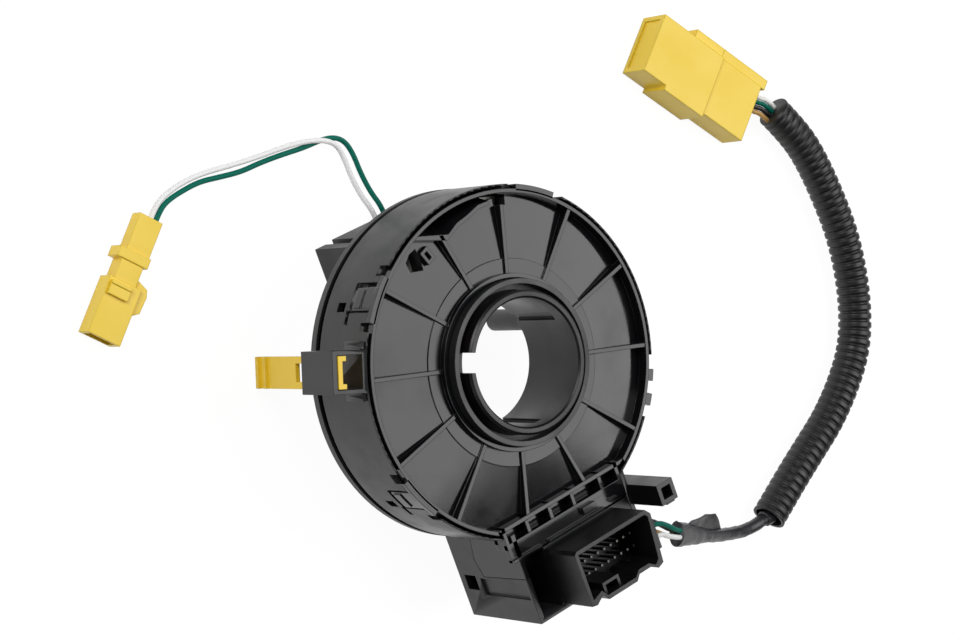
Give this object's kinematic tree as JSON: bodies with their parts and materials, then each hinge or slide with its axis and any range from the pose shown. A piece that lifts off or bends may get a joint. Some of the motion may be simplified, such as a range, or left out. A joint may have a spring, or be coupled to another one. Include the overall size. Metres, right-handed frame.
{
  "type": "steering clock spring",
  "caption": "Steering-column clock spring: a flat stator drum with connector block and harness, a rotor turning inside it, and an airbag lead with a yellow plug.",
  "frame": {"origin": "on the axis of the steering-shaft bore, level with the rim of the ribbed tray", "axes": "+Z along the bore towards the steering column, -Z towards the steering wheel; the connector block lies towards -Y with its long side along X"},
  "size_m": [0.2808, 0.1873, 0.061],
  "materials": {
    "black_plastic": "moulded, semi-gloss",
    "rotor_plastic": "moulded, semi-gloss",
    "sleeve_plastic": "moulded, satin",
    "yellow_plastic": "moulded, satin",
    "natural_plastic": "moulded",
    "slip_film": "smooth film",
    "flat_cable": "laminated film",
    "tinned_contact": "tinned",
    "green_wire": "wire jacket",
    "white_wire": "wire jacket",
    "black_wire": "wire jacket",
    "tan_wire": "wire jacket",
    "black_tape": "wrapped tape",
    "conduit_plastic": "corrugated"
  },
  "bodies": {
    "stator": {"stator_tray": "black_plastic", "stator_band": "black_plastic", "connector_block": "black_plastic", "main_terminals": "tinned_contact", "side_connector": "black_plastic", "side_terminals": "tinned_contact", "harness_outlet": "black_plastic", "lock_clip": "yellow_plastic", "slip_sheet_upper": "slip_film", "flat_cable": "flat_cable", "outer_cable_terminal": "natural_plastic", "airbag_wire_green": "green_wire", "airbag_wire_white": "white_wire", "airbag_plug": "yellow_plastic", "plug_retainer": "yellow_plastic", "plug_terminals": "tinned_contact", "harness_wire_green": "green_wire", "harness_wire_white": "white_wire", "harness_wire_black": "black_wire", "harness_wire_tan": "tan_wire", "tape_wrap": "black_tape", "conduit_tape": "black_tape", "conduit": "conduit_plastic", "tail_wire_white": "white_wire", "tail_wire_green": "green_wire", "tail_wire_black": "black_wire", "tail_wire_tan": "tan_wire", "inline_connector": "yellow_plastic", "inline_retainer": "yellow_plastic", "inline_terminals": "tinned_contact"},
    "rotor": {"rotor_body": "rotor_plastic", "cancel_sleeve": "sleeve_plastic", "rotor_connector_block": "rotor_plastic", "rotor_terminals": "tinned_contact", "inner_cable_terminal": "natural_plastic", "slip_sheet_lower": "slip_film"}
  },
  "joints": [
    {"name": "rotor_turn", "type": "hinge", "parent": "stator", "child": "rotor", "pos_m": [0, 0, 0], "axis": [0, 0, 1], "range_deg": [-900, 900], "deforming": ["airbag_wire_green", "airbag_wire_white", "flat_cable"]}
  ]
}
